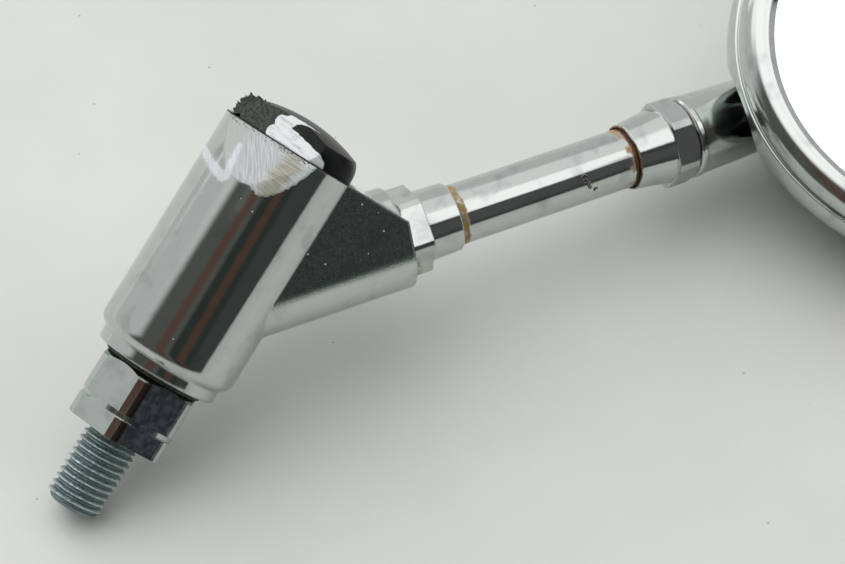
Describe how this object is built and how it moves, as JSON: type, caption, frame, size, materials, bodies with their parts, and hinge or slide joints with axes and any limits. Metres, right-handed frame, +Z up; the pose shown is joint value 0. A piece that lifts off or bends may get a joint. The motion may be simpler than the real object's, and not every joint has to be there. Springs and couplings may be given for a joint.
{
  "type": "motorcycle mirror",
  "caption": "Chromed motorcycle mirror: threaded mounting stud, spring-loaded break-away swivel, bent round arm and oval head on a ball joint.",
  "frame": {"origin": "centre of the hex's seating face, on the mounting stud's axis", "axes": "+Z up the stud's axis into the housing, +X toward the side to which the arm leans, the glass looks toward -Y"},
  "size_m": [0.1779, 0.0633, 0.2106],
  "materials": {
    "cast_chrome": "chrome plating, bright, over cast or pressed metal",
    "turned_chrome": "chrome plating, bright, over turned steel",
    "zinc_steel": "blue zinc plating",
    "bare_steel": "oiled spring steel",
    "bronze": "sintered bronze",
    "dark_washer": "dark fibre, greased",
    "black_plastic": "smooth black, scraped",
    "blue_nylon": "nylon",
    "white_nylon": "greased nylon",
    "foam": "closed-cell foam",
    "mirror_glass": "silvered glass"
  },
  "bodies": {
    "mounting_stud": {"pivot_stud": "zinc_steel", "spring_washer": "bare_steel", "spring_nut": "zinc_steel", "nut_insert": "blue_nylon"},
    "arm": {"pivot_housing": "cast_chrome", "friction_washer": "dark_washer", "pivot_bush": "bronze", "spring_seat": "bare_steel", "pivot_spring": "bare_steel", "pivot_cap": "black_plastic", "lower_lock_nut": "turned_chrome", "arm_rod": "turned_chrome", "upper_lock_nut": "turned_chrome", "ball_stem": "turned_chrome"},
    "rear_seat": {"rear_ball_seat": "white_nylon"},
    "front_seat": {"front_ball_seat": "white_nylon"},
    "head": {"thrust_cup": "bare_steel", "seat_spring": "bare_steel", "socket_ring": "zinc_steel", "ball_socket": "turned_chrome", "mirror_shell": "cast_chrome", "glass_pad": "foam", "mirror_glass": "mirror_glass", "bezel_ring": "turned_chrome"}
  },
  "joints": [
    {"name": "base_swivel", "type": "hinge", "parent": "mounting_stud", "child": "arm", "pos_m": [0, 0, 0], "axis": [0, 0, 1], "continuous": true},
    {"name": "head_roll", "type": "hinge", "parent": "arm", "child": "rear_seat", "pos_m": [0.08401, 0.00556, 0.11174], "axis": [0.7093, 0.0988, 0.698], "continuous": true},
    {"name": "head_tilt", "type": "hinge", "parent": "rear_seat", "child": "front_seat", "pos_m": [0.08401, 0.00556, 0.11174], "axis": [-0.6215, 0.555, 0.553], "range_deg": [-10, 10]},
    {"name": "head_swing", "type": "hinge", "parent": "front_seat", "child": "head", "pos_m": [0.08401, 0.00556, 0.11174], "axis": [0.3327, 0.826, -0.455], "range_deg": [-10, 10]}
  ]
}
